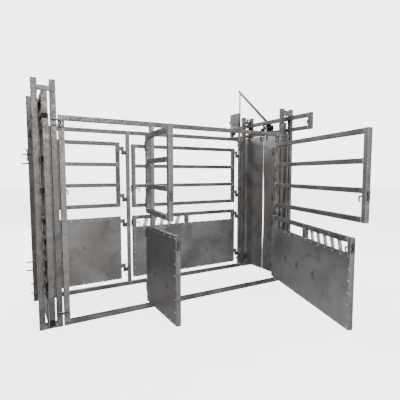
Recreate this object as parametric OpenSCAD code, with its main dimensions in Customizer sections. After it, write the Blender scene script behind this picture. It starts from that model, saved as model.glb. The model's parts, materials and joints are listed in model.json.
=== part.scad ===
// Cattle squeeze chute: two side frames with swing gates, a sliding head
// bail at one end and a pair of sliding doors at the other.
// X runs from the head end to the rear, Y from the near side to the far
// side and Z up. The origin is under the foot of the near head-end post.

/* [Body] */
// Head-end post centre to rear post centre
body_l = 2595; // [2450:5:2800]
// Near side centre plane to far side centre plane
body_w = 813; // [780:1:860]
// Floor to the top of the side frames
body_h = 1950; // [1945:1:1955]
// Head-end post centre to middle post centre
mid_x = 868; // [820:1:900]
// Outer size of the side frame tube
tube = 46; // [43:1:48]
// Wall thickness of every square tube
wall = 3; // [2:0.5:4]

/* [End frames] */
// Outer size of the end frame posts
post = 50; // [46:1:52]
// Height of the head-end guide posts
head_h = 2250; // [2200:5:2300]
// Height of the rear guide posts
rear_h = 2255; // [2240:5:2300]
// Clear gap between the two head-end guide posts
head_gap = 100; // [99:0.5:102]
// Clear gap between the two rear guide posts
rear_gap = 97; // [96:0.5:98]
// Head-end post face to the first head guide post
head_step = 14; // [10:1:18]
// Rear post face to the first rear guide post
rear_step = 25; // [20:1:30]

/* [Tracks] */
// Size of the track bars across the chute's length
track_w = 50; // [48:1:51]
// Underside of the head track
head_track_z = 1940; // [1935:1:1942]
// Overhang of the head track past each side's outer face
head_over = 50; // [30:5:80]
// Underside of the rear track
rear_track_z = 1960; // [1958:1:1962]
// Overhang of the rear track past each side's outer face
rear_over = 405; // [400:1:420]

/* [Gates] */
// Outer size of the gate tube
gate_tube = 46; // [42:1:47]
// Hinge axis to the free edge of the front bay gates
front_len = 750; // [740:1:752]
// Hinge axis to the free edge of the rear bay gates
rear_len = 1614; // [1600:1:1616]
// Height of an upper gate
upper_gate_h = 796; // [780:2:800]
// Height of a lower gate
lower_gate_h = 792; // [780:2:796]
// Opening angle of the near front upper gate
near_front_upper_angle = 85; // [0:1:100]
// Opening angle of the near front lower gate
near_front_lower_angle = 90; // [0:1:100]
// Opening angle of the near rear upper gate
near_rear_upper_angle = 76.5; // [0:0.5:100]
// Opening angle of the near rear lower gate
near_rear_lower_angle = 72; // [0:0.5:100]
// Thickness of the gate sheets
sheet_t = 3; // [2:0.5:4]

/* [Latches and hinges] */
// Radius of a gate hinge pin
pin_r = 10; // [8:0.5:11]
// Radius of a slide bolt
bolt_r = 7; // [6:0.5:8]
// Radial running clearance of pins in their bores
run_fit = 0.06; // [0.03:0.01:0.09]

/* [Head bail] */
// Outer size of the bail leaf's stile
leaf_tube = 52; // [50:1:54]
// How far the leaves stand out past each side
leaf_out = 100; // [95:1:110]
// Radius of the round neck bar
neck_r = 26; // [22:1:28]

/* [Rear doors] */
// Bottom of the sliding doors above the floor
door_z = 50; // [48:1:60]
// Depth of the door frame tube
door_t = 25; // [22:1:25]
// How far the meeting edges bow back in the middle
door_bow = 20; // [5:1:25]
// Radius of the door wheels
wheel_r = 48.5; // [47:0.1:48.8]

/* [Hidden] */
$fn = 48;
// Gap between pieces that are welded together
weld = 0.2;
half = tube / 2;
mid_y = body_w / 2;
rear_x = body_l;

// End posts of the side frames are measured along X
head_post_w = 50;
rear_post_w = 41;
mid_post_w = 40;

// Guide posts: [low X, high X], outer pair first at the head end
head_in = [-head_post_w / 2 - head_step - post, -head_post_w / 2 - head_step];
head_out = [head_in[0] - head_gap - post, head_in[0] - head_gap];
rear_in = [rear_x + rear_post_w / 2 + rear_step, rear_x + rear_post_w / 2 + rear_step + post];
rear_out = [rear_in[1] + rear_gap, rear_in[1] + rear_gap + post];
post_y = [-half, -half + post];

// Tracks hang half way between their guide posts
head_cx = head_in[0] - head_gap / 2;
rear_cx = rear_in[1] + rear_gap / 2;
bar_low = 45;
slot_h = 100;
head_bar_low = 45;
head_slot_h = 105;
head_track_h = head_bar_low + head_slot_h + 46;
rear_track_h = bar_low + slot_h + 50;
track_end = 45;
rear_track_y = [-half - rear_over, body_w + half + rear_over];
head_track_y = [-half - head_over, body_w + half + head_over];

// Gate hinge axes lie in the side's centre plane
hinge_reach = 42;
front_hinge_x = mid_x - mid_post_w / 2 - hinge_reach;
rear_hinge_x = rear_x - rear_post_w / 2 - hinge_reach;
stile_gap = 41;
g = gate_tube;
upper_z_front = 1010;
upper_z_rear = 995;
near_lift = 13;
lower_z = 98;
hinge_h = 50;
upper_hinge_z = [1125, 1705];
lower_hinge_z = [235, 805];
upper_bolt_z = 1232;
lower_bolt_z = 800;
bolt_out = 20;
bolt_in = 38;
hook_bend = 16;
hook_drop = 14;
// Radial play of a bolt in its keeper hole
keeper_play = 4;
slot_rail_z = 601;
eye_r = 17;

// Head bail leaf
leaf_x = [head_cx - leaf_tube / 2, head_cx + leaf_tube / 2];
leaf_y = -half - leaf_out;
leaf_z = [120, 1895];
neck_y = 266;
rung_t = 20;
rungs = [[1520, 55], [1250, 52], [978, 56], [800, 58], [582, 84], [382, 84]];
shoe_y = [255, 335];

// Rear door
door_x = rear_cx - track_w / 2;
door_top = rear_track_z - 12;
door_out_y = -55;
door_in_y = 377;
door_edge_y = mid_y - 2;
door_skin = 2.8;
wheel_z = rear_track_z + bar_low + 0.8 + wheel_r;
wheel_y = [70, 345];
axle_r = 8;
hanger_t = 5.8;
hanger_back = rear_cx + 28;
cable_x = rear_cx + 16;
pulley_r = 22;
pulley_y = -356;
cable_r = 2.5;

// The far door's inner wheel is smaller and runs on a stub axle
small_wheel_r = 28.5;
small_wheel_z = rear_track_z + bar_low + 0.8 + small_wheel_r;
small_wheel_y = body_w - wheel_y[1];
strap_half = 12;

// Top of the wear strip above the foot bar's top
wear_t = 3;

// Heights of the parts that tie the guide posts together
head_strap_z = 2167;
rear_strap_z = 2190;
head_tie_z = 2162;
rear_tie_z = 2222;
beam_z = 1855;

// Bail shoe hanger, bail ratchet and door guides
shoe_top = 2075;
shoe_axle_z = 2040;
ratchet_z = [1562, 1690];
ratchet_w = 10;
guide_z = [110, 190];

// Door lever and push rod
lever_y = 1087;
lever_pin_z = 1982;
apex_z = 2705;
rod_y = 300;
rod_z = 2050;
rod_half = 19;
rod_hole_r = 9;
lever_t = 12;
lever_half = 13;
bracket_half = 18;
bracket_z = [1950, 2150];
bracket_arm_z = 2110;
rod_x = hanger_back + 7;
lever_x = rear_out[0] + 0.2;

// ---------- helpers ----------

// Solid box between two corners
module box(lo, hi) {
  translate(lo) cube(hi - lo);
}

// Square tubes between two corners, open at both ends
module tube_x(lo, hi) {
  difference() {
    box(lo, hi);
    box(lo + [-1, wall, wall], hi + [1, -wall, -wall]);
  }
}

module tube_y(lo, hi) {
  difference() {
    box(lo, hi);
    box(lo + [wall, -1, wall], hi + [-wall, 1, -wall]);
  }
}

module tube_z(lo, hi) {
  difference() {
    box(lo, hi);
    box(lo + [wall, wall, -1], hi + [-wall, -wall, 1]);
  }
}

// Round bars along each axis from a start point
module bar_x(at, r, len) {
  translate(at) rotate([0, 90, 0]) cylinder(r = r, h = len);
}

module bar_y(at, r, len) {
  translate(at) rotate([-90, 0, 0]) cylinder(r = r, h = len);
}

module bar_z(at, r, len) {
  translate(at) cylinder(r = r, h = len);
}

// The far side is the near side mirrored about the centre plane
module far() {
  translate([0, body_w, 0]) mirror([0, 1, 0]) children();
}

// ---------- side frames ----------

// One side: two rails and three posts, each a separate tube
module side_frame() {
  x0 = -head_post_w / 2;
  x1 = rear_x + rear_post_w / 2;
  y0 = -half;
  y1 = half;
  color("darkgray") {
    tube_x([x0, y0, 0], [x1, y1, tube]);
    difference() {
      tube_z([x0, y0, tube + weld], [-x0, y1, body_h]);
      keeper_holes(head_post_w / 2);
    }
    difference() {
      tube_z([mid_x - mid_post_w / 2, y0, tube + weld],
             [mid_x + mid_post_w / 2, y1, body_h - tube - weld]);
      keeper_holes(mid_x + mid_post_w / 2);
    }
    tube_z([x1 - rear_post_w, y0, tube + weld], [x1, y1, body_h]);
    tube_x([-x0 + weld, y0, body_h - tube], [x1 - rear_post_w - weld, y1, body_h]);
  }
}

// Holes that the slide bolts of two gates shoot into
module keeper_holes(face_x) {
  for (z = [upper_bolt_z, lower_bolt_z])
    bar_x([face_x - wall - 1, 0, z], bolt_r + keeper_play, wall + 2);
}

// ---------- end frames ----------

// A pair of guide posts on a foot bar, tied by a strap near the top
module guide_posts(xa, xb, height, strap_z) {
  y0 = post_y[0];
  y1 = post_y[1];
  color("darkgray") {
    tube_z([xa[0], y0, 0], [xa[1], y1, height]);
    tube_z([xb[0], y0, 0], [xb[1], y1, height]);
    tube_x([xa[1] + weld, y0, 0], [xb[0] - weld, y1, tube]);
    box([xa[1] + weld, y0 + 4, tube + weld], [xb[0] - weld, y1 - 4, tube + wear_t]);
    strap([xa[1] - 22, xb[0] + 22], y0 - weld, strap_z);
  }
}

// Flat strap with round ends, lying against the outer face of two posts
module strap(xs, y, z) {
  r = 23;
  hull() for (x = xs)
    translate([x, y, z]) rotate([90, 0, 0]) cylinder(r = r, h = 8, $fn = 32);
}

module head_posts() {
  guide_posts(head_out, head_in, head_h, head_strap_z);
}

module rear_posts() {
  guide_posts(rear_in, rear_out, rear_h, rear_strap_z);
}

// Rectangular track loop: two long bars and two end uprights
module track_loop(cx, ys, z, low_h, slot, total) {
  x0 = cx - track_w / 2;
  x1 = cx + track_w / 2;
  for (y = [ys[0], ys[1] - track_end])
    tube_z([x0, y, z], [x1, y + track_end, z + total]);
  tube_y([x0, ys[0] + track_end + weld, z],
         [x1, ys[1] - track_end - weld, z + low_h]);
  tube_y([x0, ys[0] + track_end + weld, z + low_h + slot],
         [x1, ys[1] - track_end - weld, z + total]);
}

module head_track() {
  color("gray") track_loop(head_cx, head_track_y, head_track_z,
                           head_bar_low, head_slot_h, head_track_h);
}

// The rear track also carries the two pulley brackets
module rear_track() {
  color("gray") {
    track_loop(rear_cx, rear_track_y, rear_track_z, bar_low, slot_h, rear_track_h);
    pulley_bracket();
    far() pulley_bracket();
  }
}

module pulley_bracket() {
  x0 = cable_x + 5.6;
  y0 = rear_track_y[0] + track_end + weld;
  box([x0, y0, wheel_z - 15], [x0 + 3, pulley_y + 15, wheel_z + 15]);
  bar_x([cable_x - 7, pulley_y, wheel_z], 6, 13);
}

module head_cross_beam() {
  color("darkgray")
    tube_y([head_out[0], post_y[1] + weld, beam_z],
           [head_out[1], body_w - post_y[1] - weld, beam_z + post]);
}

// Tie plates between guide posts, with a bolt down to the track
module track_hanger(xa, xb, cx, track_top, plate_z) {
  y = (post_y[0] + post_y[1]) / 2;
  difference() {
    box([xa + weld, post_y[0] + 5, plate_z], [xb - weld, post_y[1] - 5, plate_z + 8]);
    bar_z([cx, y, plate_z - 1], 9.3, 10);
  }
  bar_z([cx, y, track_top + weld], 9, plate_z + 16 - track_top);
  for (z = [plate_z - 12.3, plate_z + 8.3])
    difference() {
      translate([cx, y, z]) cylinder(r = 16, h = 12, $fn = 6);
      bar_z([cx, y, z - 1], 9.3, 14);
    }
}

module track_hangers() {
  head_top = head_track_z + head_track_h;
  rear_top = rear_track_z + rear_track_h;
  color("silver") {
    track_hanger(head_out[1], head_in[0], head_cx, head_top, head_tie_z);
    track_hanger(rear_in[1], rear_out[0], rear_cx, rear_top, rear_tie_z);
    far() {
      track_hanger(head_out[1], head_in[0], head_cx, head_top, head_tie_z);
      track_hanger(rear_in[1], rear_out[0], rear_cx, rear_top, rear_tie_z);
    }
  }
}

// ---------- pinned links between the body and its end frames ----------

link_z = [118, 1842, 1892];
link_t = 8;
link_y = -half - 20;

// Lug plate with a pin hole, from x0 to x1, standing out from the side
module lug(x0, x1, pin_x, z) {
  difference() {
    box([x0, -half - 40, z], [x1, -half - weld, z + link_t]);
    bar_z([pin_x, link_y, z - 1], axle_r + 0.4, link_t + 2);
  }
}

module side_links() {
  for (z = link_z) {
    lug(-20, 20, 0, z);
    lug(head_in[0] + 8, 20, 0, z + link_t + 1);
    lug(rear_x - 18, rear_x + 18, rear_x, z);
    lug(rear_x - 18, rear_in[1] - 8, rear_x, z + link_t + 1);
  }
}

module link_lugs() {
  color("gray") {
    side_links();
    far() side_links();
  }
}

// Headed pin dropped through a pair of lugs
module link_pin(x, z) {
  bar_z([x, link_y, z - 22], axle_r, 50);
  bar_z([x, link_y, z + 18], 13, 9);
}

module link_pins() {
  color("silver") for (z = link_z, x = [0, rear_x]) {
    link_pin(x, z);
    far() link_pin(x, z);
  }
}

// ---------- gate hinges ----------

// Lug on the post: barrel, arm and the pin that the gate's eye drops on
module hinge_lug(x, z) {
  translate([x, 0, z - hinge_h]) {
    cylinder(r = eye_r, h = hinge_h - 0.5);
    box([0, -6, 0], [hinge_reach - weld, 6, hinge_h - 0.5]);
    cylinder(r = pin_r, h = 2 * hinge_h - 4);
  }
}

module hinge_lugs() {
  color("dimgray")
    for (z = concat(lower_hinge_z, upper_hinge_z), x = [front_hinge_x, rear_hinge_x])
      hinge_lug(x, z);
}

// ---------- gates ----------
// A gate is drawn closed, with its hinge axis on Z and its body towards -X.

module place_gate(hinge_x, angle) {
  translate([hinge_x, 0, 0]) rotate([0, 0, angle]) children();
}

module hinge_eye(z) {
  difference() {
    union() {
      translate([0, 0, z]) cylinder(r = eye_r, h = hinge_h);
      box([-stile_gap + weld, -6, z], [0, 6, z + hinge_h]);
    }
    bar_z([0, 0, z - 1], pin_r + run_fit, hinge_h + 2);
  }
}

// Two stiles, rails at the given heights, two eyes and a stop stud
module gate_frame(len, z0, height, rails, eyes, bolt_z) {
  color("darkgray") {
    tube_z([-stile_gap - g, -g / 2, z0], [-stile_gap, g / 2, z0 + height]);
    difference() {
      tube_z([-len, -g / 2, z0], [-len + g, g / 2, z0 + height]);
      bar_x([-len - 1, 0, bolt_z], bolt_r + run_fit, g + 2);
    }
    for (z = rails)
      tube_x([-len + g + weld, -g / 2, z0 + z],
             [-stile_gap - g - weld, g / 2, z0 + z + g]);
    for (z = eyes) hinge_eye(z);
    bar_x([-len - 14, 0, bolt_z - 46], 6, 14 - weld);
  }
}

module upper_gate(len, z0) {
  pitch = (upper_gate_h - g) / 3;
  gate_frame(len, z0, upper_gate_h, [for (i = [0:3]) i * pitch],
             upper_hinge_z, upper_bolt_z);
}

module front_lower_gate() {
  gate_frame(front_len, lower_z, lower_gate_h, [0, lower_gate_h - g],
             lower_hinge_z, lower_bolt_z);
}

// The rear bay's lower gate has a slot under its top rail, with a divider
module rear_lower_gate() {
  gate_frame(rear_len, lower_z, lower_gate_h,
             [0, slot_rail_z, lower_gate_h - g], lower_hinge_z, lower_bolt_z);
  divider_x = -stile_gap - g - rear_len * 0.45;
  color("darkgray")
    tube_z([divider_x - 55, -g / 2, lower_z + slot_rail_z + g + weld],
           [divider_x, g / 2, lower_z + lower_gate_h - g - weld]);
}

// Sheet on the inner face of a lower gate
module gate_sheet(len, top) {
  color("lightslategray")
    box([-len + 3, g / 2 + weld, lower_z + 3],
        [-stile_gap - 3, g / 2 + weld + sheet_t, lower_z + top]);
}

module front_sheet() {
  gate_sheet(front_len, lower_gate_h - 8);
}

module rear_sheet() {
  gate_sheet(rear_len, slot_rail_z + g);
}

// Slide bolt with a hooked handle behind the free stile
module gate_bolt(len, z) {
  x1 = -len + g + bolt_in;
  color("dimgray") {
    bar_x([-len - bolt_out, 0, z], bolt_r, g + bolt_in + bolt_out);
    translate([x1, 0, z - hook_bend]) rotate([90, 0, 0])
      rotate_extrude(angle = 90) translate([hook_bend, 0]) circle(r = bolt_r);
    bar_z([x1 + hook_bend, 0, z - hook_bend - hook_drop], bolt_r, hook_drop);
    translate([x1, 0, z - hook_bend - hook_drop]) rotate([90, 0, 0])
      rotate_extrude(angle = -90) translate([hook_bend, 0]) circle(r = bolt_r - 1);
  }
}

// ---------- head bail ----------

// One leaf: outer stile, round neck bar, rails, front rungs and foot plate
module leaf() {
  x0 = leaf_x[0];
  x1 = leaf_x[1];
  y1 = leaf_y + leaf_tube;
  rail_end = neck_y - neck_r - weld;
  color("gray") {
    tube_z([x0, leaf_y, leaf_z[0]], [x1, y1, leaf_z[1]]);
    difference() {
      bar_z([head_cx, neck_y, leaf_z[0]], neck_r, leaf_z[1] - leaf_z[0]);
      bar_z([head_cx, neck_y, leaf_z[0] - 1], neck_r - wall, leaf_z[1] - leaf_z[0] + 2);
    }
    tube_y([x0, y1 + weld, leaf_z[1] - leaf_tube], [x1, rail_end, leaf_z[1]]);
    tube_y([x0, y1 + weld, leaf_z[0]], [x1, rail_end, leaf_z[0] + leaf_tube]);
    for (r = rungs)
      tube_y([x0 - weld - rung_t, leaf_y, r[0]],
             [x0 - weld, neck_y + neck_r, r[0] + r[1]]);
    box([x0 - weld - 6, leaf_y + 4, 62], [x0 - weld, neck_y + neck_r, 252]);
    for (x = [x0 - weld - 6, x1 + weld])
      box([x, shoe_y[0], leaf_z[1] - leaf_tube], [x + 6, shoe_y[1], shoe_top]);
    bar_x([x0 - 5.5, (shoe_y[0] + shoe_y[1]) / 2, shoe_axle_z], axle_r, leaf_tube + 11);
  }
}

// Black slide blocks on and under the stile, and the shoe in the track
module leaf_blocks() {
  x0 = leaf_x[0] + 2;
  x1 = leaf_x[1] - 2;
  y0 = leaf_y + 2;
  y1 = leaf_y + leaf_tube - 2;
  shoe_x = track_w / 2 - 2;
  shoe_z = head_track_z + head_bar_low;
  color("black") {
    box([x0, y0, leaf_z[1] + weld], [x1, y1, head_track_z - 2]);
    box([x0, y0, 65], [x1, y1, leaf_z[0] - weld]);
    difference() {
      box([head_cx - shoe_x, shoe_y[0] + 2, shoe_z + 0.5],
          [head_cx + shoe_x, shoe_y[1] - 2, shoe_z + head_slot_h - 4]);
      bar_x([head_cx - shoe_x - 1, (shoe_y[0] + shoe_y[1]) / 2, shoe_axle_z],
            axle_r + 0.3, 2 * shoe_x + 2);
    }
  }
}

// Toothed strip that holds the bail, on the far outer guide post
module leaf_ratchet() {
  x0 = head_out[0] - 12;
  y1 = body_w + half;
  y0 = y1 - ratchet_w;
  color("dimgray") difference() {
    box([x0, y0, ratchet_z[0]], [head_out[0] - weld, y1, ratchet_z[1]]);
    for (z = [ratchet_z[0] + 13:16:ratchet_z[1] - 10])
      bar_y([x0, y0 - 1, z], 5, ratchet_w + 2);
  }
}

// Pins and short lugs for joining yard panels, on the far outer guide post
panel_pin_z = [352, 446, 1534, 1628];
panel_stub_z = [89, 197, 1581, 1677];

module panel_pins() {
  color("silver") {
    for (z = panel_pin_z)
      bar_x([head_out[0] - 62, body_w - 3.5, z], 8, 62 - weld);
    for (z = panel_stub_z)
      bar_x([head_out[0] - 26, body_w - 3.5, z], 7, 26 - weld);
  }
}

// ---------- rear doors ----------

// Perimeter frame with a middle rail
module door_frame() {
  x1 = door_x + door_t;
  t = door_t;
  color("gray") {
    for (y = [door_out_y, door_in_y - t])
      tube_z([door_x, y, door_z], [x1, y + t, door_top]);
    for (z = [door_z, (door_z + door_top) / 2, door_top - t])
      tube_y([door_x, door_out_y + t + weld, z], [x1, door_in_y - t - weld, z + t]);
  }
}

// Skin whose meeting edge bows back between the top and bottom
module door_sheet() {
  bow_half = 560;
  bow_r = (bow_half * bow_half + door_bow * door_bow) / (2 * door_bow);
  bow_z = 900;
  x0 = door_x - weld - door_skin;
  color("slategray") difference() {
    box([x0, door_out_y - 2, door_z], [x0 + door_skin, door_edge_y, door_top]);
    translate([x0 - 1, door_edge_y - door_bow + bow_r, bow_z])
      rotate([0, 90, 0]) cylinder(r = bow_r, h = door_skin + 2, $fn = 360);
  }
}

// Front strap, block, back plate and an axle between strap and plate
module hanger(y, plate) {
  front = door_x - 2 * weld - door_skin - hanger_t;
  z0 = door_top - 65;
  color("dimgray") {
    box([front, y - strap_half, z0], [front + hanger_t, y + strap_half, wheel_z + 12]);
    box([door_x + door_t + weld, y - 30, z0], [hanger_back - weld, y + 30, door_top]);
    bar_x([front + hanger_t + weld, y, wheel_z], axle_r,
          hanger_back - front - hanger_t - 2 * weld);
    hanger_plate(plate, wheel_z + 38);
  }
}

module hanger_plate(ys, top) {
  box([hanger_back, ys[0], door_top - 65], [hanger_back + hanger_t, ys[1], top]);
}

// Grip that ties the hanger to one run of the cable
module cable_grip(y, z) {
  color("silver")
    box([cable_x + cable_r + 0.5, y - 12, z - 6], [hanger_back - weld, y + 12, z + 6]);
}

// The near door's inner back plate is wide and takes the push rod's pin
module near_hangers() {
  hanger(wheel_y[0], [wheel_y[0] - 38, wheel_y[0] + 38]);
  difference() {
    hanger(wheel_y[1], [rod_y - 22, wheel_y[1] + 38]);
    bar_x([hanger_back - 1, rod_y, rod_z], rod_hole_r, hanger_t + 2);
  }
  cable_grip(wheel_y[1] - 24, wheel_z + pulley_r);
}

// The far door's inner hanger is a strap with a stub axle and a tall plate
module far_hangers() {
  front = door_x - 2 * weld - door_skin - hanger_t;
  y = small_wheel_y;
  far() hanger(wheel_y[0], [wheel_y[0] - 38, wheel_y[0] + 38]);
  color("dimgray") {
    box([front, y - strap_half, door_top - 65],
        [front + hanger_t, y + strap_half, small_wheel_z + 12]);
    box([door_x + door_t + weld, y - 12, door_top - 65],
        [hanger_back - weld, y + 24, door_top]);
    bar_x([front + hanger_t + weld, y, small_wheel_z], axle_r, rear_cx + 11 - front - hanger_t);
    hanger_plate([y - 16, y + 27], wheel_z + 86);
  }
  cable_grip(y + 12, wheel_z - pulley_r);
}

// Nylon wheel between a front spacer and, on a through axle, a back spacer
module door_wheel(y) {
  wheel_disc(y, wheel_z, wheel_r);
  wheel_spacer(y, wheel_z, rear_cx - 26, 7.8);
  wheel_spacer(y, wheel_z, rear_cx + 8.2, 16.8);
}

module small_door_wheel() {
  wheel_disc(small_wheel_y, small_wheel_z, small_wheel_r);
  wheel_spacer(small_wheel_y, small_wheel_z, rear_cx - 26, 7.8);
}

module wheel_disc(y, z, r) {
  color("black") difference() {
    bar_x([rear_cx - 18, y, z], r, 26);
    bar_x([rear_cx - 19, y, z], axle_r + run_fit, 28);
    for (s = [-19, 3])
      difference() {
        bar_x([rear_cx + s, y, z], r - 7, 6);
        bar_x([rear_cx + s - 1, y, z], axle_r + 6, 8);
      }
  }
}

module wheel_spacer(y, z, x, len) {
  color("black") difference() {
    bar_x([x, y, z], axle_r + 9, len);
    bar_x([x - 1, y, z], axle_r + run_fit, len + 2);
  }
}

// Grooved pulley that the door cable turns round
module pulley() {
  color("dimgray") translate([cable_x, pulley_y, wheel_z]) rotate([0, 90, 0])
    difference() {
      translate([0, 0, -5]) cylinder(r = pulley_r + 1, h = 10);
      rotate_extrude() translate([pulley_r + 1, 0]) circle(r = cable_r + 1.2);
      translate([0, 0, -6]) cylinder(r = 6 + run_fit, h = 12);
    }
}

// Endless cable: two straight runs and a half turn round each pulley
module door_cable() {
  run = body_w - 2 * pulley_y;
  color("silver") {
    for (s = [-1, 1])
      bar_y([cable_x, pulley_y, wheel_z + s * pulley_r], cable_r, run);
    cable_turn();
    far() cable_turn();
  }
}

module cable_turn() {
  translate([cable_x, pulley_y, wheel_z]) rotate([0, 90, 0])
    rotate_extrude(angle = -180) translate([pulley_r, 0]) circle(r = cable_r);
}

// Nylon blocks that keep the doors' feet between the guide posts
module door_guide() {
  color("black") {
    box([rear_in[1] + weld, post_y[0] + 4, guide_z[0]],
        [door_x - door_skin - 4, post_y[1] - 4, guide_z[1]]);
    box([door_x + door_t + 4, post_y[0] + 4, guide_z[0]],
        [rear_out[0] - weld, post_y[1] - 4, guide_z[1]]);
  }
}

module door_guides() {
  door_guide();
  far() door_guide();
}

// ---------- door lever ----------

box_y = [1020, 1239];
box_h = 206;
lock_z = 2212;

// Two upright channels on the far end of the rear track, with a spine between
module latch_box() {
  z0 = rear_track_z + rear_track_h + weld;
  x0 = rear_cx - track_w / 2;
  x1 = rear_cx + track_w / 2;
  channel = 105;
  color("lightgray") {
    for (y = [box_y[0], box_y[1] - channel])
      difference() {
        box([x0, y, z0], [x1, y + channel, z0 + box_h]);
        box([x0 + 4, y + 4, z0 - 1], [x1 + 1, y + channel - 4, z0 + box_h + 1]);
        bar_y([rear_cx, y - 1, lock_z], 8 + run_fit, channel + 2);
      }
    difference() {
      box([x0 + 3, box_y[0] + channel + weld, z0],
          [x1 - 12, box_y[1] - channel - weld, z0 + box_h + 6]);
      bar_y([rear_cx, box_y[0] + channel - 1, lock_z], 8.4, 12);
    }
  }
}

// Bent lock pin with a ball knob, sliding through the latch box
module lock_pin() {
  color("black") {
    bar_y([rear_cx, box_y[0] + 90, lock_z], 8, 152);
    hull() {
      translate([rear_cx, box_y[1] + 26, lock_z]) sphere(r = 6, $fn = 24);
      translate([rear_cx, box_y[1] + 50, lock_z + 44]) sphere(r = 6, $fn = 24);
    }
    translate([rear_cx, box_y[1] + 50, lock_z + 46]) sphere(r = 11, $fn = 32);
    translate([rear_cx, box_y[1] + 22, lock_z]) rotate([-90, 0, 0]) cylinder(r = 8, h = 5);
  }
}

// Plate behind the track that carries the lever's pivot pin
module lever_bracket() {
  x0 = hanger_back + hanger_t + 4.2;
  y0 = lever_y - bracket_half;
  y1 = lever_y + bracket_half;
  color("gray") {
    box([x0, y0, bracket_z[0]], [rear_out[0] - 0.3, y1, bracket_z[1]]);
    box([rear_cx + track_w / 2 + weld, y0, bracket_arm_z], [x0 - weld, y1, bracket_z[1]]);
    bar_x([rear_out[0] - 0.1, lever_y, lever_pin_z], pin_r, 16);
    bar_x([rear_out[0] + 16.1, lever_y, lever_pin_z], 16, 5);
  }
}

// Flat lever: push rod pin at the top, grip at the bottom
module door_lever() {
  t = lever_t;
  color("silver") {
    difference() {
      union() {
        box([lever_x, lever_y - lever_half, lever_pin_z - 150],
            [lever_x + t, lever_y + lever_half, apex_z]);
        bar_x([lever_x, lever_y, apex_z], 13, t);
        bar_x([lever_x, lever_y, lever_pin_z], 22, t);
      }
      bar_x([lever_x - 1, lever_y, lever_pin_z], pin_r + run_fit, t + 2);
    }
    bar_x([rod_x - 1, lever_y, apex_z], axle_r, lever_x - rod_x + 1.1);
    bar_z([lever_x + t / 2, lever_y, lever_pin_z - 250], 11, 101);
  }
}

// Flat push rod from the lever's top pin down to the near door's inner hanger
module push_rod() {
  t = 9;
  dy = lever_y - rod_y;
  dz = apex_z - rod_z;
  len = sqrt(dy * dy + dz * dz);
  color("darkslategray") {
    translate([rod_x, rod_y, rod_z]) rotate([atan2(dz, dy), 0, 0])
      difference() {
        union() {
          box([0, 0, -rod_half], [t, len, rod_half]);
          bar_x([0, 0, 0], rod_half + 1, t);
          bar_x([0, len, 0], rod_half + 1, t);
        }
        bar_x([-1, len, 0], axle_r + run_fit, t + 2);
      }
    bar_x([rod_x + t - 1, rod_y, rod_z], rod_hole_r, 3);
  }
}

// ---------- assembly ----------

side_frame();  // near_side_frame
far() side_frame();  // far_side_frame
head_posts();  // near_head_posts
far() head_posts();  // far_head_posts
rear_posts();  // near_rear_posts
far() rear_posts();  // far_rear_posts
head_track();
rear_track();
head_cross_beam();
track_hangers();
link_lugs();
link_pins();
hinge_lugs();  // near_hinge_lugs
far() hinge_lugs();  // far_hinge_lugs
panel_pins();
leaf_ratchet();
latch_box();
lever_bracket();
door_guides();
door_cable();
pulley();  // near_pulley
far() pulley();  // far_pulley

place_gate(front_hinge_x, near_front_upper_angle)  // near_front_upper_gate
    upper_gate(front_len, upper_z_front + near_lift);
place_gate(front_hinge_x, near_front_lower_angle) front_lower_gate();  // near_front_lower_gate
place_gate(rear_hinge_x, near_rear_upper_angle)  // near_rear_upper_gate
    upper_gate(rear_len, upper_z_rear + near_lift);
place_gate(rear_hinge_x, near_rear_lower_angle) rear_lower_gate();  // near_rear_lower_gate
far() place_gate(front_hinge_x, 0) upper_gate(front_len, upper_z_front);  // far_front_upper_gate
far() place_gate(front_hinge_x, 0) front_lower_gate();  // far_front_lower_gate
far() place_gate(rear_hinge_x, 0) upper_gate(rear_len, upper_z_rear);  // far_rear_upper_gate
far() place_gate(rear_hinge_x, 0) rear_lower_gate();  // far_rear_lower_gate

place_gate(front_hinge_x, near_front_lower_angle) front_sheet();  // near_front_lower_sheet
place_gate(rear_hinge_x, near_rear_lower_angle) rear_sheet();  // near_rear_lower_sheet
far() place_gate(front_hinge_x, 0) front_sheet();  // far_front_lower_sheet
far() place_gate(rear_hinge_x, 0) rear_sheet();  // far_rear_lower_sheet

place_gate(front_hinge_x, near_front_upper_angle) gate_bolt(front_len, upper_bolt_z);  // near_front_upper_bolt
place_gate(front_hinge_x, near_front_lower_angle) gate_bolt(front_len, lower_bolt_z);  // near_front_lower_bolt
place_gate(rear_hinge_x, near_rear_upper_angle) gate_bolt(rear_len, upper_bolt_z);  // near_rear_upper_bolt
place_gate(rear_hinge_x, near_rear_lower_angle) gate_bolt(rear_len, lower_bolt_z);  // near_rear_lower_bolt
far() place_gate(front_hinge_x, 0) gate_bolt(front_len, upper_bolt_z);  // far_front_upper_bolt
far() place_gate(front_hinge_x, 0) gate_bolt(front_len, lower_bolt_z);  // far_front_lower_bolt
far() place_gate(rear_hinge_x, 0) gate_bolt(rear_len, upper_bolt_z);  // far_rear_upper_bolt
far() place_gate(rear_hinge_x, 0) gate_bolt(rear_len, lower_bolt_z);  // far_rear_lower_bolt

leaf();  // near_leaf
leaf_blocks();  // near_leaf_blocks
far() leaf();  // far_leaf
far() leaf_blocks();  // far_leaf_blocks
door_frame();  // near_door_frame
door_sheet();  // near_door_sheet
near_hangers();  // near_door_hangers
door_wheel(wheel_y[1]);  // near_inner_wheel
door_wheel(wheel_y[0]);  // near_outer_wheel
far() door_frame();  // far_door_frame
far() door_sheet();  // far_door_sheet
far_hangers();  // far_door_hangers
small_door_wheel();  // far_inner_wheel
far() door_wheel(wheel_y[0]);  // far_outer_wheel
door_lever();
push_rod();
lock_pin();
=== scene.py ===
import json
import math
import random

import bmesh
import bpy
import numpy as np
from mathutils import Matrix, Vector

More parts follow.
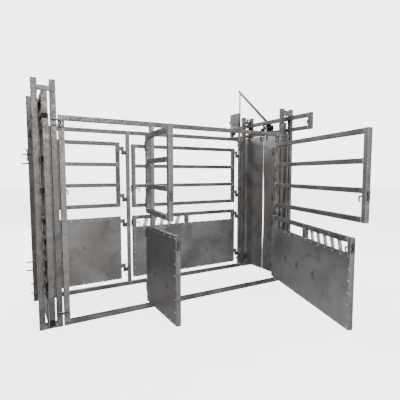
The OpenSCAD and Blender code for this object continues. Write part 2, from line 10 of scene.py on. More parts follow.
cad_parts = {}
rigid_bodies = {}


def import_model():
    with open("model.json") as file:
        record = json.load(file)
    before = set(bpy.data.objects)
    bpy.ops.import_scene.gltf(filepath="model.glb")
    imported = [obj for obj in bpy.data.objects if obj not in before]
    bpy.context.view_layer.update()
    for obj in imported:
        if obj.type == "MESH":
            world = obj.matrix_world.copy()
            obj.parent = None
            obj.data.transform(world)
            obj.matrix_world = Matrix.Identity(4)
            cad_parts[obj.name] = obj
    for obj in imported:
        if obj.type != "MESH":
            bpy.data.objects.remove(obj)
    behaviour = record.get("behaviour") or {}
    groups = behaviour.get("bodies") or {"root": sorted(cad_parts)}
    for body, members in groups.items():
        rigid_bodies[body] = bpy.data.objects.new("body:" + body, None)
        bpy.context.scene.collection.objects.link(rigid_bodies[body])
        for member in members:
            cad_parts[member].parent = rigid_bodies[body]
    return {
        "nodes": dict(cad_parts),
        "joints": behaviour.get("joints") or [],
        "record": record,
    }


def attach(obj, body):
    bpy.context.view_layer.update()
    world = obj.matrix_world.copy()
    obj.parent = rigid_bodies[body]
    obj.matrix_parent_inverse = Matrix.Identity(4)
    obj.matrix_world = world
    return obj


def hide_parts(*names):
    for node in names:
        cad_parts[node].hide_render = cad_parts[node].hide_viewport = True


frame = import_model()
NODES = frame["nodes"]
JOINTS = {j["child"]: j for j in frame["joints"]}
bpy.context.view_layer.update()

# ---------------------------------------------------------------- camera

CAMERA_AT = Vector((-0.4278, -3.2798, 1.4256))
CAMERA_YAW = math.radians(29.734)
CAMERA_PITCH = math.radians(4.554)
CAMERA_LENS = 30.05
SENSOR = 36.0


def add_camera():
    """The standing viewer's camera, near the head end of the near side."""
    data = bpy.data.cameras.new("camera")
    data.lens = CAMERA_LENS
    data.sensor_width = SENSOR
    data.clip_end = 200
    camera = bpy.data.objects.new("camera", data)
    camera.location = CAMERA_AT
    camera.rotation_euler = (math.pi / 2 - CAMERA_PITCH, 0, -CAMERA_YAW)
    bpy.context.scene.collection.objects.link(camera)
    bpy.context.scene.camera = camera


# ------------------------------------------------------------- materials


class Nodes:
    """Short calls for building a material's node tree."""

    def __init__(self, name):
        self.material = bpy.data.materials.new(name)
        self.material.use_nodes = True
        self.tree = self.material.node_tree
        self.shader = self.tree.nodes["Principled BSDF"]
        coord = self.tree.nodes.new("ShaderNodeTexCoord")
        self.place = coord.outputs["Object"]

    def link(self, source, target):
        self.tree.links.new(source, target)

    def set(self, socket, value):
        if isinstance(value, bpy.types.NodeSocket):
            self.link(value, socket)
        else:
            socket.default_value = value

    def stretched(self, scale):
        """Coordinates scaled by a different amount along each axis."""
        node = self.tree.nodes.new("ShaderNodeMapping")
        node.inputs["Scale"].default_value = scale
        self.link(self.place, node.inputs["Vector"])
        return node.outputs["Vector"]

    def noise(self, scale, detail=4.0, rough=0.55, at=None, warp=0.0):
        node = self.tree.nodes.new("ShaderNodeTexNoise")
        node.inputs["Scale"].default_value = scale
        node.inputs["Detail"].default_value = detail
        node.inputs["Roughness"].default_value = rough
        node.inputs["Distortion"].default_value = warp
        self.link(at or self.place, node.inputs["Vector"])
        return node.outputs["Fac"]

    def cells(self, scale, at=None):
        """A random grey for each crystal-like cell."""
        node = self.tree.nodes.new("ShaderNodeTexVoronoi")
        node.inputs["Scale"].default_value = scale
        self.link(at or self.place, node.inputs["Vector"])
        grey = self.tree.nodes.new("ShaderNodeSeparateColor")
        self.link(node.outputs["Color"], grey.inputs["Color"])
        return grey.outputs["Red"]

    def ramp(self, value, low, high, out_low=0.0, out_high=1.0):
        node = self.tree.nodes.new("ShaderNodeMapRange")
        node.interpolation_type = "SMOOTHSTEP"
        self.link(value, node.inputs["Value"])
        node.inputs["From Min"].default_value = low
        node.inputs["From Max"].default_value = high
        node.inputs["To Min"].default_value = out_low
        node.inputs["To Max"].default_value = out_high
        return node.outputs["Result"]

    def math(self, kind, a, b):
        node = self.tree.nodes.new("ShaderNodeMath")
        node.operation = kind
        self.set(node.inputs[0], a)
        self.set(node.inputs[1], b)
        return node.outputs["Value"]

    def mix(self, fac, a, b, kind="MIX"):
        node = self.tree.nodes.new("ShaderNodeMix")
        node.data_type = "RGBA"
        node.blend_type = kind
        self.set(node.inputs["Factor"], fac)
        self.set(node.inputs["A"], a)
        self.set(node.inputs["B"], b)
        return node.outputs["Result"]

    def attribute(self, name):
        node = self.tree.nodes.new("ShaderNodeAttribute")
        node.attribute_name = name
        return node.outputs["Fac"]

    def bump(self, height, distance, strength=1.0, under=None):
        node = self.tree.nodes.new("ShaderNodeBump")
        node.inputs["Distance"].default_value = distance
        node.inputs["Strength"].default_value = strength
        self.link(height, node.inputs["Height"])
        if under:
            self.link(under, node.inputs["Normal"])
        return node.outputs["Normal"]

    def finish(self, color, rough, normal=None, metallic=0.0):
        self.set(self.shader.inputs["Base Color"], color)
        self.set(self.shader.inputs["Roughness"], rough)
        self.shader.inputs["Metallic"].default_value = metallic
        if normal:
            self.link(normal, self.shader.inputs["Normal"])
        return self.material


def grey(value, warmth=0.0):
    """An opaque grey, a little warm or cool."""
    return (value * (1 + warmth), value, value * (1 - warmth), 1.0)


def steel(name, mid, spread, metallic=0.5, spangle=70.0, rough=0.48, warmth=0.02):
    """Weathered galvanised steel: clouds, spangle, smears, welded-end glow, painted shade on the
    rolled corners.
    """
    n = Nodes(name)
    clouds = n.noise(5.0, 5.0, 0.6, warp=0.6)
    blotches = n.noise(26.0, 4.0, 0.6)
    crystals = n.cells(spangle)
    fine = n.noise(420.0, 3.0, 0.6)
    smears = n.noise(9.0, 6.0, 0.7, warp=1.5)
    color = n.mix(n.ramp(clouds, 0.34, 0.68),
                  grey(mid * (1 - spread), warmth), grey(mid * (1 + spread), warmth))
    color = n.mix(n.ramp(blotches, 0.42, 0.72, 0.0, 0.45), color,
                  grey(mid * (1 + 1.5 * spread), -0.01))
    color = n.mix(n.ramp(crystals, 0.0, 1.0, 0.0, 0.22), color,
                  grey(mid * (1 - 1.4 * spread), -0.03))
    tint = n.ramp(n.noise(3.1, 3.0, 0.5), 0.44, 0.66, 0.0, 0.55)
    color = n.mix(tint, color, (mid * 1.24, mid * 0.98, mid * 0.90, 1.0))
    color = n.mix(n.ramp(smears, 0.56, 0.70, 0.0, 0.72), color,
                  grey(mid * 0.28, 0.05))
    streak = n.noise(1.0, 4.0, 0.6, at=n.stretched((2.2, 2.2, 9.0)))
    color = n.mix(n.ramp(streak, 0.58, 0.70, 0.0, 0.55), color, grey(mid * 2.1, 0.01))
    heat = n.attribute("weld_heat")
    speck = n.ramp(n.noise(95.0, 5.0, 0.75), 0.44, 0.62)
    color = n.mix(n.math("MULTIPLY", heat, n.ramp(speck, 0.0, 1.0, 0.15, 0.75)),
                  color, grey(min(mid * 2.1, 0.9), 0.0))
    ring = n.math("MULTIPLY", n.ramp(heat, 0.12, 0.30), n.ramp(heat, 0.62, 0.34))
    color = n.mix(n.math("MULTIPLY", ring, 0.45), color, grey(mid * 0.42, 0.10))
    # painted shade: the rolled corners darkened in blotches, so their bright edges read darker
    corner_shade = n.math("MULTIPLY", n.attribute("edge"), n.ramp(blotches, 0.30, 0.62))
    color = n.mix(n.math("MULTIPLY", corner_shade, 0.75), color, grey(mid * 0.30, 0.06))
    roughness = n.math("ADD", n.ramp(crystals, 0.0, 1.0, rough - 0.08, rough + 0.10),
                       n.ramp(clouds, 0.3, 0.7, -0.05, 0.14))
    normal = n.bump(fine, 0.0004, 0.5)
    normal = n.bump(blotches, 0.0012, 0.35, normal)
    return n.finish(color, roughness, normal, metallic)


def sheet_steel(name, mid):
    """Flat sheet: soft clouds, rolling marks, hand prints, drips and painted shade in the dents.
    """
    n = Nodes(name)
    clouds = n.noise(2.9, 4.0, 0.55, warp=0.5)
    drift = n.noise(1.1, 2.0, 0.5)
    rolling = n.noise(1.0, 5.0, 0.7, at=n.stretched((14.0, 14.0, 190.0)))
    crystals = n.cells(55.0)
    fine = n.noise(300.0, 3.0, 0.6)
    spots = n.noise(38.0, 2.0, 0.5)
    smears = n.noise(5.0, 5.0, 0.65, warp=0.8)
    color = n.mix(n.ramp(clouds, 0.33, 0.70), grey(mid * 0.66, 0.02), grey(mid * 1.40, 0.0))
    color = n.mix(n.ramp(drift, 0.42, 0.62, 0.0, 0.35), color, grey(mid * 1.5, 0.01))
    color = n.mix(n.ramp(rolling, 0.40, 0.70, 0.0, 0.12), color, grey(mid * 1.5))
    color = n.mix(n.ramp(crystals, 0.0, 1.0, 0.0, 0.10), color, grey(mid * 0.6))
    color = n.mix(n.ramp(smears, 0.58, 0.70, 0.0, 0.50), color, grey(mid * 0.42, 0.06))
    tint = n.ramp(n.noise(1.7, 3.0, 0.5), 0.48, 0.68, 0.0, 0.5)
    color = n.mix(tint, color, (mid * 1.12, mid * 0.96, mid * 0.86, 1.0))
    color = n.mix(n.ramp(spots, 0.71, 0.76, 0.0, 0.6), color, grey(mid * 2.0, 0.04))
    # painted shade: the sheet darkened in its dents, the more the deeper the dent
    color = n.mix(n.math("MULTIPLY", n.attribute("dent"), 0.85), color, grey(mid * 0.22, 0.06))
    roughness = n.math("ADD", n.ramp(clouds, 0.3, 0.7, 0.30, 0.46),
                       n.ramp(smears, 0.55, 0.72, 0.0, 0.16))
    normal = n.bump(fine, 0.0003, 0.35)
    normal = n.bump(clouds, 0.010, 0.30, normal)
    return n.finish(color, roughness, normal, metallic=0.4)


def nylon(name):
    """Black moulded nylon with dust and scuffs."""
    n = Nodes(name)
    dust = n.noise(60.0, 5.0, 0.65)
    scuff = n.noise(1.0, 4.0, 0.7, at=n.stretched((40.0, 220.0, 40.0)))
    fine = n.noise(700.0, 2.0, 0.5)
    color = n.mix(n.ramp(dust, 0.54, 0.76, 0.0, 0.4), grey(0.006), grey(0.030, 0.05))
    color = n.mix(n.ramp(scuff, 0.62, 0.72, 0.0, 0.3), color, grey(0.05, 0.03))
    roughness = n.ramp(dust, 0.35, 0.70, 0.62, 0.85)
    n.shader.inputs["Specular IOR Level"].default_value = 0.25
    return n.finish(color, roughness, n.bump(fine, 0.0003, 0.5))


def bead_metal(name):
    """Weld bead: bright, rippled, sooty in places."""
    n = Nodes(name)
    soot = n.noise(70.0, 4.0, 0.7)
    fine = n.noise(900.0, 3.0, 0.6)
    color = n.mix(n.ramp(soot, 0.42, 0.62), grey(0.20, 0.05), grey(0.80, 0.02))
    roughness = n.ramp(soot, 0.3, 0.7, 0.32, 0.6)
    return n.finish(color, roughness, n.bump(fine, 0.0005, 0.6), metallic=0.75)


def make_materials():
    return {
        "galvanised_tube": steel("galvanised_tube", 0.120, 0.50, warmth=0.05),
        "sheet_steel": sheet_steel("sheet_steel", 0.15),
        # painted shade: a darker copy of the sheet material
        "sheet_steel_shaded": sheet_steel("sheet_steel_shaded", 0.095),
        "bright_hardware": steel("bright_hardware", 0.27, 0.30, 0.85, 140.0, 0.30),
        "dark_steel": steel("dark_steel", 0.075, 0.36, 0.6, 110.0, 0.46, 0.08),
        "black_nylon": nylon("black_nylon"),
        "pale_zinc": steel("pale_zinc", 0.62, 0.22, 0.15, 120.0, 0.5, 0.03),
        "weld_bead": bead_metal("weld_bead"),
    }


MATERIALS = make_materials()
SLOT_OF = {s["node"]: s["material_slot"] for s in frame["record"]["subparts"]}
BODY_OF = {n: b for b, names in frame["record"]["behaviour"]["bodies"].items() for n in names}

# ------------------------------------------------------- geometry helpers

# A solid counts as a tube from this side and length, and if mostly hollow
TUBE_MIN_SIDE = 0.018
TUBE_MIN_LENGTH = 0.07
TUBE_MAX_FILL = 0.5
TUBE_WALL = 0.003
TUBE_CORNER = 0.0040
INNER_CORNER = TUBE_CORNER - 0.002
BORED_CORNER = TUBE_CORNER * 0.7
CORNER_STEPS = 3
RING_STEP = 0.045
# Two solids are welded if their faces are this close and overlap this far
TOUCH = 0.0006
GRIP = 0.004
TUBE_BEAD = 0.0026
LUG_BEAD = 0.0022
LUG_CORNER = 0.0015
BEAD_SIDES = 6
BEAD_STEP = 0.0032
# The glow starts about half a tube from the weld's centre and fades over its reach
WELD_HALF = 0.022
WELD_REACH = 0.030
SMOOTH_ANGLE = math.radians(38)
FLAT_ANGLE = math.radians(1.0)
SHARP_FOLD = 0.6


def make_object(name, verts, faces, material, smooth=True):
    mesh = bpy.data.meshes.new(name)
    mesh.from_pydata([tuple(v) for v in verts], [], faces)
    mesh.materials.append(material)
    for polygon in mesh.polygons:
        polygon.use_smooth = smooth
    mesh.update()
    obj = bpy.data.objects.new(name, mesh)
    bpy.context.scene.collection.objects.link(obj)
    return obj


def gate_turn(body):
    """(matrix that closes a gate, matrix that opens it again) for a body."""
    joint = JOINTS.get(body)
    if joint and joint["child"].endswith("_bolt"):
        joint = JOINTS[joint["parent"]]
    if not joint or not joint["name"].endswith("_swing") or "gate" not in joint["child"]:
        return Matrix.Identity(4), Matrix.Identity(4)
    at = Vector(joint["pos_m"])
    opened = -joint["range_deg"][0] if joint["child"].startswith("near") else 0.0
    turn = Matrix.Rotation(math.radians(opened), 4, "Z")
    back = Matrix.Translation(at) @ turn @ Matrix.Translation(-at)
    return back.inverted(), back


def components(node):
    """The node's separate solids, each as a bmesh with merged vertices."""
    whole = bmesh.new()
    whole.from_mesh(NODES[node].data)
    bmesh.ops.remove_doubles(whole, verts=whole.verts, dist=1e-6)
    whole.verts.ensure_lookup_table()
    seen = set()
    groups = []
    for vert in whole.verts:
        if vert.index in seen:
            continue
        stack, group = [vert], []
        seen.add(vert.index)
        while stack:
            v = stack.pop()
            group.append(v)
            for e in v.link_edges:
                w = e.other_vert(v)
                if w.index not in seen:
                    seen.add(w.index)
                    stack.append(w)
        groups.append(group)
    solids = []
    for group in groups:
        index = {v.index: i for i, v in enumerate(group)}
        faces = {f for v in group for f in v.link_faces}
        faces = sorted(faces, key=lambda f: f.index)
        solids.append(([v.co.copy() for v in group],
                       [[index[v.index] for v in f.verts] for f in faces]))
    whole.free()
    return solids


def solid_volume(points, faces):
    total = 0.0
    for face in faces:
        a = points[face[0]]
        for i in range(1, len(face) - 1):
            total += a.dot(points[face[i]].cross(points[face[i + 1]]))
    return abs(total) / 6


def is_square_tube(points, faces):
    """True for a hollow square or oblong tube lying along one axis."""
    co = np.array(points)
    low, high = co.min(0), co.max(0)
    size = high - low
    if min(size) < TUBE_MIN_SIDE or max(size) < TUBE_MIN_LENGTH:
        return False
    for corner in range(8):
        at = [high[i] if corner >> i & 1 else low[i] for i in range(3)]
        if np.abs(co - at).max(1).min() > 1e-4:
            return False
    return solid_volume(points, faces) < TUBE_MAX_FILL * size[0] * size[1] * size[2]


def rounded_loop(a, b, radius, steps):
    """Points round an a by b oblong about the origin, corners rounded."""
    loop = []
    for sx, sy, start in ((1, 1, 0), (-1, 1, 90), (-1, -1, 180), (1, -1, 270)):
        for k in range(steps + 1):
            angle = math.radians(start + 90 * k / steps)
            loop.append((sx * (a / 2 - radius) + radius * math.cos(angle),
                         sy * (b / 2 - radius) + radius * math.sin(angle)))
    return loop


def tube_frame(low, high):
    """Axis index, the two cross axes and the three sizes of a tube's box."""
    size = [high[i] - low[i] for i in range(3)]
    axis = size.index(max(size))
    cross = [i for i in range(3) if i != axis]
    return axis, cross, size


def tube_mesh(low, high):
    """Rolled-corner hollow tube filling the box between two corners."""
    axis, cross, size = tube_frame(low, high)
    a, b = size[cross[0]], size[cross[1]]
    middle = [(low[i] + high[i]) / 2 for i in range(3)]
    outer = rounded_loop(a, b, TUBE_CORNER, CORNER_STEPS)
    inner = rounded_loop(a - 2 * TUBE_WALL, b - 2 * TUBE_WALL, INNER_CORNER, CORNER_STEPS)
    count = max(2, round(size[axis] / RING_STEP) + 1)
    stations = [low[axis] + size[axis] * i / (count - 1) for i in range(count)]
    verts = []

    def ring(loop, at):
        for p, q in loop:
            point = [0.0, 0.0, 0.0]
            point[axis] = at
            point[cross[0]] = middle[cross[0]] + p
            point[cross[1]] = middle[cross[1]] + q
            verts.append(Vector(point))

    for at in stations:
        ring(outer, at)
    ring(inner, stations[0])
    ring(inner, stations[-1])
    m = len(outer)
    flip = (cross[0], cross[1], axis) in ((0, 1, 2), (1, 2, 0), (2, 0, 1))
    faces = []

    def quad(a0, a1, b1, b0):
        faces.append((a0, a1, b1, b0) if flip else (b0, b1, a1, a0))

    first_in = len(stations) * m
    last_in = first_in + m
    last_out = (len(stations) - 1) * m
    for k in range(m):
        j = (k + 1) % m
        for s in range(len(stations) - 1):
            quad(s * m + k, s * m + j, (s + 1) * m + j, (s + 1) * m + k)
        quad(first_in + k, first_in + j, j, k)
        quad(last_out + k, last_out + j, last_in + j, last_in + k)
        quad(last_in + k, last_in + j, first_in + j, first_in + k)
    return verts, faces


def bead_loop(points, radius, rng):
    """A rippled weld bead round a closed line of points."""
    verts, faces, fine = [], [], []
    for i, a in enumerate(points):
        b = points[(i + 1) % len(points)]
        steps = max(1, int((b - a).length / BEAD_STEP))
        fine += [a.lerp(b, k / steps) for k in range(steps)]
    n = len(fine)
    for i, p in enumerate(fine):
        along = (fine[(i + 1) % n] - fine[i - 1]).normalized()
        side = along.orthogonal().normalized()
        up = along.cross(side)
        r = radius * (0.80 + 0.28 * (i % 2) + rng.uniform(-0.12, 0.16))
        for k in range(BEAD_SIDES):
            t = 2 * math.pi * k / BEAD_SIDES
            verts.append(p + side * (r * math.cos(t)) + up * (r * math.sin(t)))
    for i in range(n):
        a, b = i * BEAD_SIDES, (i + 1) % n * BEAD_SIDES
        for k in range(BEAD_SIDES):
            m = (k + 1) % BEAD_SIDES
            faces.append((a + k, a + m, b + m, b + k))
    return verts, faces


def join_into(all_verts, all_faces, verts, faces):
    start = len(all_verts)
    all_verts.extend(verts)
    all_faces.extend([tuple(i + start for i in f) for f in faces])


def add_point_value(obj, name, values):
    layer = obj.data.attributes.new(name, "FLOAT", "POINT")
    layer.data.foreach_set("value", np.asarray(values, np.float32))


# ------------------------------------------------------- rebuild each node

NO_WELD = {"track_hangers", "link_pins", "door_cable", "lock_pin"}
WELDED_LUGS = {"link_lugs", "lever_bracket", "near_hinge_lugs", "far_hinge_lugs"} | {
    n for n in NODES if n.endswith("_gate") or n.endswith("_leaf")}

joint_points = {}
node_boxes = {}


def survey():
    """Boxes of every solid, with each gate's solids turned to closed."""
    for node in NODES:
        close, _ = gate_turn(BODY_OF[node])
        boxes = []
        for points, faces in components(node):
            points = [close @ p for p in points]
            co = np.array(points)
            boxes.append((co.min(0), co.max(0), is_square_tube(points, faces), points, faces))
        node_boxes[node] = boxes


def touches(face_axis, face_at, low, high, other_low, other_high):
    """True where a solid's end face lies against another solid's side."""
    cross = [i for i in range(3) if i != face_axis]
    gap = min(abs(other_low[face_axis] - face_at), abs(other_high[face_axis] - face_at))
    if gap > TOUCH:
        return False
    return all(low[i] < other_high[i] - GRIP and high[i] > other_low[i] + GRIP for i in cross)


def build_beads(body, nodes, rng):
    """Weld beads round every tube end and lug foot that meets a tube."""
    _, opened = gate_turn(body)
    verts, faces, centres = [], [], []
    solids = [(n, s) for n in nodes for s in node_boxes[n]]
    tubes = [s for _, s in solids if s[2]]
    for node, solid in solids:
        low, high, square = solid[0], solid[1], solid[2]
        if node in NO_WELD or not (square or node in WELDED_LUGS):
            continue
        size = high - low
        axes = [int(np.argmax(size))] if square else range(3)
        for axis in axes:
            for at in (low[axis], high[axis]):
                if not any(t is not solid and touches(axis, at, low, high, t[0], t[1])
                           for t in tubes):
                    continue
                cross = [i for i in range(3) if i != axis]
                a, b = size[cross[0]], size[cross[1]]
                radius = TUBE_CORNER if square else LUG_CORNER
                loop = []
                for p, q in rounded_loop(a, b, radius, 2):
                    point = [0.0, 0.0, 0.0]
                    point[axis] = at
                    point[cross[0]] = (low[cross[0]] + high[cross[0]]) / 2 + p
                    point[cross[1]] = (low[cross[1]] + high[cross[1]]) / 2 + q
                    loop.append(opened @ Vector(point))
                v, f = bead_loop(loop, TUBE_BEAD if square else LUG_BEAD, rng)
                join_into(verts, faces, v, f)
                centres.append(sum(loop, Vector()) / len(loop))
    if verts:
        # beads at a post's foot are cut flat where the post stands on the floor
        verts = [(x, y, max(z, 0.0)) for x, y, z in verts]
        obj = make_object(f"welds_{body}", verts, faces, MATERIALS["weld_bead"])
        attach(obj, body)
    joint_points[body] = centres


def heat_at(points, body):
    """How close each point is to a weld, from 0 to 1."""
    centres = joint_points.get(body) or []
    if not centres:
        return np.zeros(len(points))
    co = np.array(points)
    heat = np.zeros(len(points))
    for c in centres:
        d = np.abs(co - np.array(c)).max(1) - WELD_HALF
        heat = np.maximum(heat, np.exp(-np.clip(d, 0, None) / WELD_REACH))
    return heat


# A tube with more corner points than this has bolt holes in it
PLAIN_TUBE_POINTS = 20


def bored_tube(low, high, points, faces):
    """A CAD tube with bolt holes in it, its long outer corners rolled."""
    axis, cross, size = tube_frame(low, high)
    bm = bmesh.new()
    made = [bm.verts.new(p) for p in points]
    for face in faces:
        bm.faces.new([made[i] for i in face])
    bm.normal_update()
    bmesh.ops.dissolve_limit(bm, angle_limit=FLAT_ANGLE, verts=bm.verts, edges=bm.edges)

    def at_corner(v):
        return all(min(abs(v.co[i] - low[i]), abs(v.co[i] - high[i])) < 1e-5 for i in cross)

    corners = [e for e in bm.edges if all(at_corner(v) for v in e.verts)
               and abs(e.verts[0].co[axis] - e.verts[1].co[axis]) > 0.1 * size[axis]]
    bmesh.ops.bevel(bm, geom=corners, offset=BORED_CORNER, segments=3, profile=0.5,
                    affect="EDGES", clamp_overlap=True)
    bm.verts.index_update()
    result = ([v.co.copy() for v in bm.verts], [tuple(v.index for v in f.verts) for f in bm.faces])
    bm.free()
    return result


def rebuild(node):
    """Rolled tubes and bevelled fittings that stand for one CAD node."""
    body = BODY_OF[node]
    _, opened = gate_turn(body)
    material = MATERIALS[SLOT_OF[node]]
    pieces = []
    verts, faces = [], []
    rest_verts, rest_faces = [], []
    bored_verts, bored_faces = [], []
    for low, high, square, points, solid_faces in node_boxes[node]:
        if square and len(points) > PLAIN_TUBE_POINTS:
            v, f = bored_tube(low, high, points, solid_faces)
            join_into(bored_verts, bored_faces, [opened @ p for p in v], f)
        elif square:
            v, f = tube_mesh(low, high)
            join_into(verts, faces, [opened @ p for p in v], f)
        else:
            join_into(rest_verts, rest_faces, [opened @ p for p in points], solid_faces)
    if verts:
        obj = make_object(f"{node}_tubes", verts, faces, material)
        flatten = obj.modifiers.new("flat_sides", "WEIGHTED_NORMAL")
        flatten.mode = "FACE_AREA"
        flatten.weight = 80
        add_point_value(obj, "weld_heat", heat_at(verts, body))
        mark_edges(obj)
        pieces.append(obj)
    if bored_verts:
        obj = make_object(f"{node}_bored", bored_verts, bored_faces, material)
        obj.data.set_sharp_from_angle(angle=SMOOTH_ANGLE)
        add_point_value(obj, "weld_heat", heat_at(bored_verts, body))
        flatten = obj.modifiers.new("flat_sides", "WEIGHTED_NORMAL")
        flatten.keep_sharp = True
        pieces.append(obj)
    if rest_verts:
        obj = make_object(f"{node}_fittings", rest_verts, rest_faces, material)
        soften(obj)
        co = [v.co.copy() for v in obj.data.vertices]
        add_point_value(obj, "weld_heat", heat_at(co, body))
        pieces.append(obj)
    for obj in pieces:
        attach(obj, body)
    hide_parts(node)


SHEET_STEP = 0.010
# sheets given the darker copy of the sheet material, as painted shade
SHADED_SHEETS = {"near_front_lower_sheet"}
# Each dent: share of the length from the hinge, share of the height, radius, depth
DENTS = {
    "near_rear_lower_sheet": [(0.25, 0.50, 0.034, 0.012), (0.415, 0.49, 0.044, 0.015),
                              (0.63, 0.50, 0.036, 0.013)],
    "near_front_lower_sheet": [(0.20, 0.62, 0.020, 0.007), (0.62, 0.60, 0.022, 0.008),
                               (0.34, 0.45, 0.019, 0.006), (0.74, 0.40, 0.020, 0.007)],
    "far_front_lower_sheet": [(0.62, 0.55, 0.030, 0.004), (0.30, 0.70, 0.018, 0.003)],
    "far_rear_lower_sheet": [(0.44, 0.52, 0.020, 0.004), (0.30, 0.34, 0.045, 0.004)],
}


def sheet_height(node, u, v, size, waves):
    """How far a gate sheet stands off its flat plane at one point."""
    bulge = sum(a * math.sin(p * u + q * v + r) for a, p, q, r in waves)
    bulge *= 16 * u * (1 - u) * v * (1 - v)
    for du, dv, radius, depth in DENTS[node]:
        x, z = (u - du) * size[0], (v - dv) * size[1]
        bend = x - 0.9 * z * z / radius
        away = math.hypot(bend * 1.9, z) / radius
        bulge -= depth * math.exp(-away * away)
    return bulge


def dent_share(node, u, v, size):
    """How deep in a dent one point of a sheet lies, from 0 to 1, which sets the painted shade
    there.
    """
    share = 0.0
    for du, dv, radius, depth in DENTS[node]:
        x, z = (u - du) * size[0], (v - dv) * size[1]
        away = math.hypot((x - 0.9 * z * z / radius) * 1.9, z) / radius
        share = max(share, math.exp(-away * away) * min(1.0, depth / 0.008))
    return share


def dented_sheet(node, low, high, opened, rng):
    """A gate sheet as a fine grid, buckled a little and dented."""
    near = node.startswith("near")
    size = (high[0] - low[0], high[2] - low[2])
    waves = [(rng.uniform(0.0004, 0.0011), rng.uniform(3, 9), rng.uniform(3, 8),
              rng.uniform(0, 6)) for _ in range(4)]
    nx, nz = (max(2, round(d / SHEET_STEP)) for d in size)
    verts, faces = [], []
    for y in (low[1], high[1]):
        for i in range(nx + 1):
            for k in range(nz + 1):
                u, v = i / nx, k / nz
                off = sheet_height(node, 1 - u, v, size, waves) * (1 if near else -1)
                verts.append(opened @ Vector((low[0] + u * size[0], y + off,
                                              low[2] + v * size[1])))
    layer = (nx + 1) * (nz + 1)
    for i in range(nx):
        for k in range(nz):
            a = i * (nz + 1) + k
            b = a + nz + 1
            faces.append((a, b, b + 1, a + 1))
            faces.append((layer + a, layer + a + 1, layer + b + 1, layer + b))
    rim = [i * (nz + 1) for i in range(nx + 1)]
    rim += [nx * (nz + 1) + k for k in range(1, nz + 1)]
    rim += [i * (nz + 1) + nz for i in range(nx - 1, -1, -1)]
    rim += [k for k in range(nz - 1, 0, -1)]
    for a, b in zip(rim, rim[1:] + rim[:1]):
        faces.append((a, a + layer, b + layer, b))
    # the darker sheet material is painted shade
    sheet_shade = "sheet_steel_shaded" if node in SHADED_SHEETS else "sheet_steel"
    obj = make_object(f"{node}_plate", verts, faces, MATERIALS[sheet_shade])
    obj.data.set_sharp_from_angle(angle=SMOOTH_ANGLE)
    # painted shade for the dents, stored in the sheet's point value named dent
    grid = [(i / nx, k / nz) for i in range(nx + 1) for k in range(nz + 1)]
    dent_shade = [dent_share(node, 1 - u, v, size) for u, v in grid]
    add_point_value(obj, "dent", dent_shade * 2)
    return obj


def dome(at, out, radius, height, rng, sides=10):
    """A low weld button standing on a surface."""
    side = out.orthogonal().normalized()
    up = out.cross(side)
    verts, faces = [], []
    for ring, (share, lift) in enumerate(((1.0, -0.2), (0.86, 0.55), (0.48, 0.95))):
        for k in range(sides):
            t = 2 * math.pi * k / sides
            r = radius * share * rng.uniform(0.88, 1.12)
            verts.append(at + side * (r * math.cos(t)) + up * (r * math.sin(t))
                         + out * (height * lift))
            if ring < 2:
                a, b = ring * sides + k, ring * sides + (k + 1) % sides
                faces.append((a, b, b + sides, a + sides))
    verts.append(at + out * height)
    top = len(verts) - 1
    for k in range(sides):
        faces.append((2 * sides + k, 2 * sides + (k + 1) % sides, top))
    return verts, faces


PLUG_INSET = 0.013
PLUG_PITCH = (0.118, 0.105)
PLUG_SHIFT = 0.006


def plug_welds(node, low, high, opened, rng):
    """Weld buttons along the sheet's edges, on the face inside the chute."""
    near = node.startswith("near")
    face_y = high[1] if near else low[1]
    out = (opened.to_3x3() @ Vector((0, 1 if near else -1, 0))).normalized()
    verts, faces, spots = [], [], []
    inset = PLUG_INSET
    across = max(3, round((high[0] - low[0]) / PLUG_PITCH[0]))
    upright = max(3, round((high[2] - low[2]) / PLUG_PITCH[1]))
    for i in range(across + 1):
        x = low[0] + inset + (high[0] - low[0] - 2 * inset) * i / across
        spots += [(x, high[2] - inset), (x, low[2] + inset)]
    for k in range(1, upright):
        z = low[2] + inset + (high[2] - low[2] - 2 * inset) * k / upright
        spots += [(low[0] + inset, z), (high[0] - inset, z)]
    for x, z in spots:
        x += rng.uniform(-PLUG_SHIFT, PLUG_SHIFT)
        v, f = dome(opened @ Vector((x, face_y, z)), out, rng.uniform(0.0080, 0.0115),
                    rng.uniform(0.0022, 0.0034), rng)
        join_into(verts, faces, v, f)
    return make_object(f"{node}_plugs", verts, faces, MATERIALS["weld_bead"])


def rebuild_sheet(node, rng):
    body = BODY_OF[node]
    _, opened = gate_turn(body)
    low, high = node_boxes[node][0][:2]
    plate = dented_sheet(node, low, high, opened, rng)
    plugs = plug_welds(node, low, high, opened, rng)
    for obj in (plate, plugs):
        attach(obj, body)
    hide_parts(node)


# Guide blocks: gap from the bolt's line, reach over and under it, half width, depth
GUIDE_GAP = 0.0095
GUIDE_OVER = 0.046
GUIDE_UNDER = 0.036
GUIDE_HALF = 0.013
GUIDE_DEPTH = (-0.0130, -0.0003)
BOX_FACES = ((0, 1, 3, 2), (4, 6, 7, 5), (0, 4, 5, 1), (2, 3, 7, 6), (0, 2, 6, 4), (1, 5, 7, 3))


